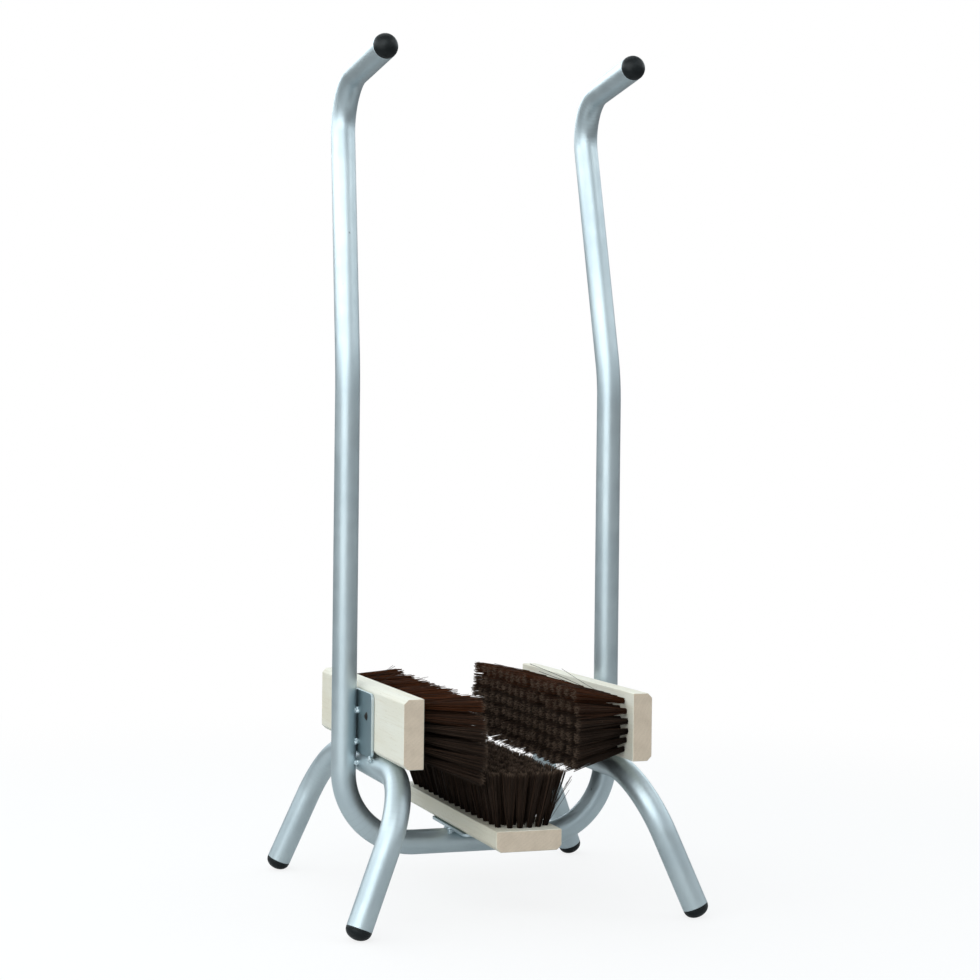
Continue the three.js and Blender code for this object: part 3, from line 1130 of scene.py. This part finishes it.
# strays: root across and along the block, lean across and along, share of the full height
strays = {
    "left": [(-25, 35, -0.6, 0.45, 0.5), (-25, 29, -0.5, 0.6, 0.48), (-24, 60, -0.42, 0.3, 0.62)],
    "right": [(24, -25, 0.45, 0.35, 0.87), (25, -55, 0.55, -0.25, 0.68), (24.5, -72, 0.35, 0.15, 1.04)],
    "bottom": [
        (24, -132, 0.4, -0.5, 0.95), (24, -126, 0.5, -0.4, 0.84), (24.5, -137, 0.45, -0.5, 0.7),
        (24, -128, 0.36, -0.42, 0.9), (23.5, -134, 0.42, -0.36, 0.8),
    ],
}
strandSizes = ("Thickness", "Root Radius", "Tip Radius", "Bend")
strandShares = ("Row Spread", "Ragged", "Dome", "Waywardness")
tuftKinds = {"lean": "FLOAT_VECTOR", "strands": "INT", "tall": "FLOAT", "flare": "FLOAT", "faded": "FLOAT"}


def strandRod(tree):
    # one slightly bent three-sided strand, which knows the share of its length at each point
    length = tree.value("Length")
    middle = tree.combine(tree.value("Bend"), 0.0, tree.times(length, 0.5))
    ends = {"start": (0, 0, 0), "middle": middle, "end": tree.combine(0.0, 0.0, length)}
    rod = tree.add("GeometryNodeCurveQuadraticBezier", None, resolution=2, **ends)
    marked = tree.store(rod, "along", tree.add("GeometryNodeSplineParameter").outputs["Factor"])
    radius = tree.times(tree.value("Thickness"), 0.5)
    section = tree.add("GeometryNodeCurvePrimitiveCircle", {"mode": "RADIUS"}, resolution=3, radius=radius)
    return tree.add("GeometryNodeCurveToMesh", None, curve=marked, profileCurve=section, fillCaps=True)


def rootDisc(tree):
    # a random place in a disc of radius 1, and its distance from the middle
    angle = tree.random(0.0, 2 * math.pi, 1)
    reach = tree.maths("SQRT", tree.random(0.0, 1.0, 2))
    x = tree.times(tree.maths("COSINE", angle), reach)
    y = tree.times(tree.maths("SINE", angle), reach)
    return tree.combine(x, y, 0.0), reach


def strandDirection(tree, disc):
    # a strand leans with its tuft, flares with its place in it and drifts at random
    growth = tree.maths("SUBTRACT", tree.value("Tip Radius"), tree.value("Root Radius"))
    spread = tree.maths("DIVIDE", growth, tree.value("Length"))
    oval = tree.vectors("MULTIPLY", disc, tree.combine(1.0, tree.value("Row Spread"), 1.0))
    flare = tree.scaled(oval, tree.times(spread, tree.named("flare")))
    lean = tree.vectors("ADD", tree.named("lean", "FLOAT_VECTOR"), flare)
    # most strands keep to their tuft and a few stand out of it
    outlier = tree.maths("POWER", tree.random(0.0, 1.0, 9), bristleValues["outlierPower"])
    share = tree.maths("MULTIPLY_ADD", outlier, bristleValues["outlierWay"], bristleValues["commonWay"])
    most = tree.times(tree.value("Waywardness"), share)
    least = tree.times(most, -1.0)
    drift = tree.combine(tree.random(least, most, 3), tree.random(least, most, 4), 1.0)
    return tree.vectors("ADD", lean, drift)


def bristleTree():
    labels = ("Length", *strandSizes, *strandShares)
    tree = GeometryTree("bristleRows", [(label, "Float") for label in labels])
    # roots spread over the tuft's hole
    amounts = {"geometry": tree.value("Geometry"), "amount": tree.named("strands", "INT")}
    copies = tree.add("GeometryNodeDuplicateElements", {"domain": "POINT"}, **amounts)
    disc, reach = rootDisc(tree)
    aimed = tree.store(copies, "direction", strandDirection(tree, disc), "FLOAT_VECTOR")
    aimed = tree.store(aimed, "rim", tree.times(reach, reach))
    offset = tree.scaled(disc, tree.value("Root Radius"))
    rooted = tree.add("GeometryNodeSetPosition", None, geometry=aimed, offset=offset)
    # strands are cut so that their tips end level, but for some raggedness and a dome on each tuft
    direction = tree.named("direction", "FLOAT_VECTOR")
    cut = tree.random(tree.maths("SUBTRACT", 1.0, tree.value("Ragged")), 1.0, 5)
    cut = tree.maths("SUBTRACT", cut, tree.times(tree.named("rim"), tree.value("Dome")))
    tall = tree.times(tree.vectors("LENGTH", direction, output=1), cut, tree.named("tall"))
    twist = tree.random(0.0, 2 * math.pi, 6)
    wide = tree.random(*bristleValues["widths"], 7)
    placed = tree.planted(rooted, strandRod(tree), twist, direction, tree.combine(wide, wide, tall))
    toned = tree.store(placed, "tone", tree.random(0.0, 1.0, 8), domain="INSTANCE")
    tree.finish(tree.add("GeometryNodeSetShadeSmooth", {"domain": "FACE"}, geometry=toned, shadeSmooth=True))
    return tree.group


def tuftList(name, side):
    # each tuft is its root and then a value for each of tuftKinds, and a stray is a tuft of one strand
    values = bristleValues
    rows, length = values["rows"], values["length"][name]
    halfBlock = blockValues["length"] / 2
    rootHeight = values["face"] - values["sink"]
    outerRoot = blockValues["width"] / 2 - values["rowEdge"]
    droop = -side * values["droop"][name]
    rootX, rootY = values["rootShift"]
    leanX, leanY = values["leanShift"]
    shift = values["strandShift"]
    uneven = random.Random("tufts" + name)
    # painted light: the uppermost rows of the side brushes take a redder colour, as where light from above
    # falls on them
    uppermost = {-1: (0, 1), 1: (rows - 1, rows - 2), 0: ()}[side]
    paintedToplightRows = dict(zip(uppermost, values["faded"]))
    tufts = []
    for row in range(rows):
        share = 2 * row / (rows - 1) - 1
        fan = share * (values["outerTip"] - outerRoot)
        rowHalf = halfBlock - values["rowEnd"] - values["rowEndArc"] * share ** 2
        gaps = round(2 * rowHalf / values["pitch"])
        for tuft in range(gaps + 1):
            along = 2 * tuft / gaps - 1
            root = Vector((share * outerRoot, along * rowHalf, rootHeight))
            root += Vector((uneven.uniform(-rootX, rootX), uneven.uniform(-rootY, rootY), 0))
            lean = Vector((fan + droop, along * values["endFan"], 0))
            lean += Vector((uneven.gauss(0, leanX), uneven.gauss(0, leanY), 0))
            count = values["strands"] + uneven.randint(-shift, shift)
            tall = 1 - uneven.uniform(0, values["shortest"])
            flare = uneven.uniform(*values["flares"])
            tufts.append((root * mm, lean / length, count, tall, flare, paintedToplightRows.get(row, 0.0)))
    for x, y, strayX, strayY, tall in strays[name]:
        tufts.append((Vector((x, y, rootHeight)) * mm, Vector((strayX, strayY, 0)), 1, tall, 0.0, 0.0))
    return tufts


bristleRows = bristleTree()
for number, (name, side) in enumerate(stations.items()):
    roots, *columns = (list(column) for column in zip(*tuftList(name, side)))
    attributes = dict(zip(tuftKinds, zip(tuftKinds.values(), columns)))
    brush = newObject(name + "Bristles", pointsMesh(name + "Bristles", roots, attributes))
    inputs = {label: bristleValues[camel(label)] * mm for label in strandSizes}
    inputs.update({label: bristleValues[camel(label)] for label in strandShares})
    inputs["Length"] = (bristleValues["length"][name] + bristleValues["sink"]) * mm
    inputs["Seed"] = bristleValues["seed"] + bristleValues["seedStep"] * number
    inputs["Finish"] = bristle
    grow(brush, bristleRows, inputs)
    brush.data.transform(stationMatrix(side))
    settle(brush, "brown_bristle", name + "_brush_bristles")
    print("bristles", name, len(brush.data.polygons), "faces")


# floor, light and background

stageValues = {
    "floorSize": 30,
    "floorRoughness": 0.9,
    "floorGloss": 0.1,
    "floorNear": (0.55, 0.56, 0.56, 1),
    "floorFar": (0.12, 0.125, 0.125, 1),
    "floorSeen": (0.93, 0.93, 0.93, 1),
    "floorFade": (0.5, 1.6),
    "floorLift": (0.5, 1.6, 0.8, 1.0),
    "shinySight": 0.12,
    "white": (1, 1, 1, 1),
    "surround": (0.86, 0.95, 1.0, 1),
    "surroundStrength": 0.01,
    "tentRise": (0.11, 0.33),
    "tentFall": (0.42, 0.7, 1.0, 0.2),
    "tentDepth": (-0.6, 0.3, 0.5, 1.0),
    "tentStrength": 2.0,
    "lightColour": (0.93, 1.0, 1.03),
}
# a light's place, aim, size and watts
stageLights = {
    "keyLight": ((-1.7, -1.9, 0.9), (0, 0, 0.5), (2.6, 1.6), 23),
    "leftBoardLight": ((-1.05, 0.1, 1.2), (-0.13, 0.05, 0.85), (1.5, 0.7), 5),
    "frontTopLight": ((-0.9, -2.0, 2.4), (0, 0, 0.7), (2.4, 1.0), 6),
    "rightTopLight": ((1.5, -0.9, 2.1), (0, 0, 0.6), (1.0, 1.0), 5),
    "backLight": ((-0.45, 1.3, 1.3), (-0.13, 0, 0.8), (1.2, 0.6), 3),
    "handleLight": ((-0.5, -1.2, 1.45), (0, 0, 0.8), (1.3, 0.8), 4),
    "topLight": ((-0.1, 0.4, 2.2), (0, 0, 0.3), (1.2, 1.2), 3.5),
}


def backdropSight(tree):
    # the camera sees the white backdrop, and shiny surfaces see a share of it
    rays = tree.add("ShaderNodeLightPath").outputs
    shiny = tree.maths("MAXIMUM", rays["Is Glossy Ray"], rays["Is Transmission Ray"])
    return tree.maths("MAXIMUM", rays["Is Camera Ray"], tree.times(shiny, "shinySight"))


def addFloor():
    source = bmesh.new()
    bmesh.ops.create_grid(source, x_segments=1, y_segments=1, size=stageValues["floorSize"] / 2)
    floor = solid("floor", source)
    tree = MaterialTree("floorCard", stageValues)
    seen = backdropSight(tree)
    away = tree.vectors("LENGTH", tree.place, output=1)
    # away from the object the card reflects less light, and the camera sees it whiter
    bounce = tree.blend(tree.through(away, "floorFade"), "floorNear", "floorFar")
    tree.look(baseColor=tree.blend(seen, bounce, "floorSeen"))
    tree.look(roughness="floorRoughness", specularIorLevel="floorGloss")
    glow = tree.add("ShaderNodeEmission", None, color="white", strength=1.0)
    tree.show(tree.mix(tree.times(seen, tree.through(away, "floorLift")), tree.shader, glow))
    dress(floor, tree.material)


def addLights():
    for name, (place, aim, size, watts) in stageLights.items():
        lamp = bpy.data.lights.new(name, "AREA")
        lamp.shape = "RECTANGLE"
        lamp.size, lamp.size_y = size
        lamp.energy = watts
        lamp.color = stageValues["lightColour"]
        light = newObject(name, lamp)
        turn = (Vector(place) - Vector(aim)).to_track_quat("Z", "Y").to_matrix().to_4x4()
        light.matrix_world = Matrix.Translation(place) @ turn
        light.visible_camera = False


def addSurround():
    scene.world = bpy.data.worlds.new("surround")
    tree = ShaderTree(scene.world, "World", stageValues)
    # a bright ring part way up, as the walls of a light tent
    sky = tree.add("ShaderNodeTexCoord").outputs["Generated"]
    parts = tree.add("ShaderNodeSeparateXYZ", None, vector=sky).outputs
    rise, fall = tree.through(parts["Z"], "tentRise"), tree.through(parts["Z"], "tentFall")
    ring = tree.times(rise, fall, tree.through(parts["Y"], "tentDepth"), "tentStrength")
    strength = tree.maths("ADD", ring, "surroundStrength")
    lighting = tree.add("ShaderNodeBackground", None, color="surround", strength=strength)
    white = tree.add("ShaderNodeBackground", None, color="white", strength=1.0)
    tree.show(tree.mix(backdropSight(tree), lighting, white))


addFloor()
addLights()
addSurround()
scene.view_settings.view_transform = "Standard"
print("stage lit")
